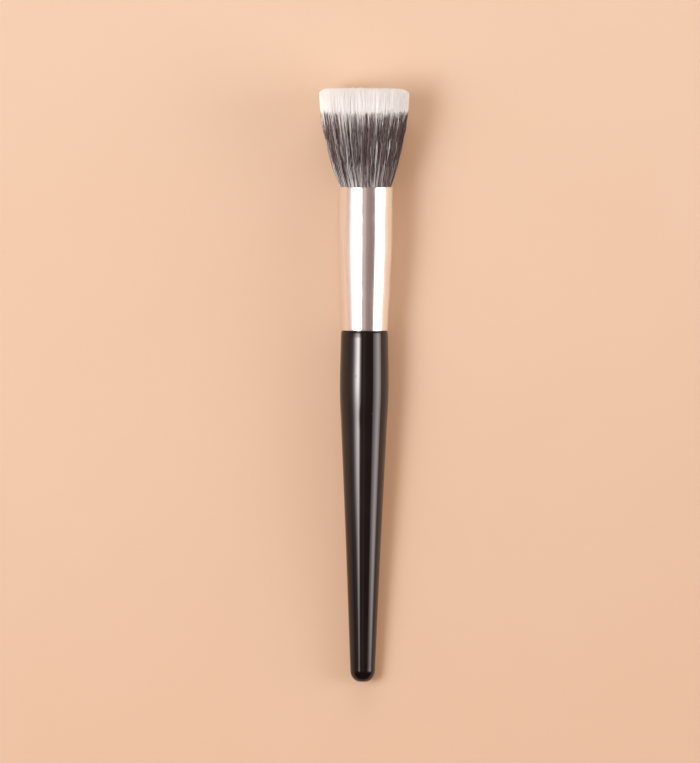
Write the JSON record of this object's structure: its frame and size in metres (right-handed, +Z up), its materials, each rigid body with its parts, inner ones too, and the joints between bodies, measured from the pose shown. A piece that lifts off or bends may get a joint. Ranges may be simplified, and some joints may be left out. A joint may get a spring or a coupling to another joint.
{
  "type": "stippling brush",
  "caption": "Flat-topped duo-fibre make-up brush: dark fibres with longer white tips, set in a bright tapered ferrule on a slim black lacquered handle.",
  "frame": {"origin": "on the table, under the middle of the lying brush's length and in the plane of its axis", "axes": "+Y along the lying brush, from the butt of the handle to the fibre tips; +X to the right seen from above; +Z up from the table"},
  "size_m": [0.0272, 0.1798, 0.0262],
  "materials": {
    "black_lacquer": "turned wood under a black gloss lacquer",
    "bright_metal": "drawn and polished bright",
    "dark_fibre": "fine dark brown-black fibre with a soft sheen",
    "white_fibre": "fine off-white translucent fibre",
    "cotton_thread": "twisted cotton thread",
    "root_resin": "amber cured resin",
    "handle_glue": "cured cream adhesive"
  },
  "bodies": {
    "root": {"handle": "black_lacquer", "ferrule": "bright_metal", "dark_fibres": "dark_fibre", "white_fibres": "white_fibre", "binding_thread": "cotton_thread", "resin_plug": "root_resin", "tenon_adhesive": "handle_glue"}
  },
  "joints": []
}
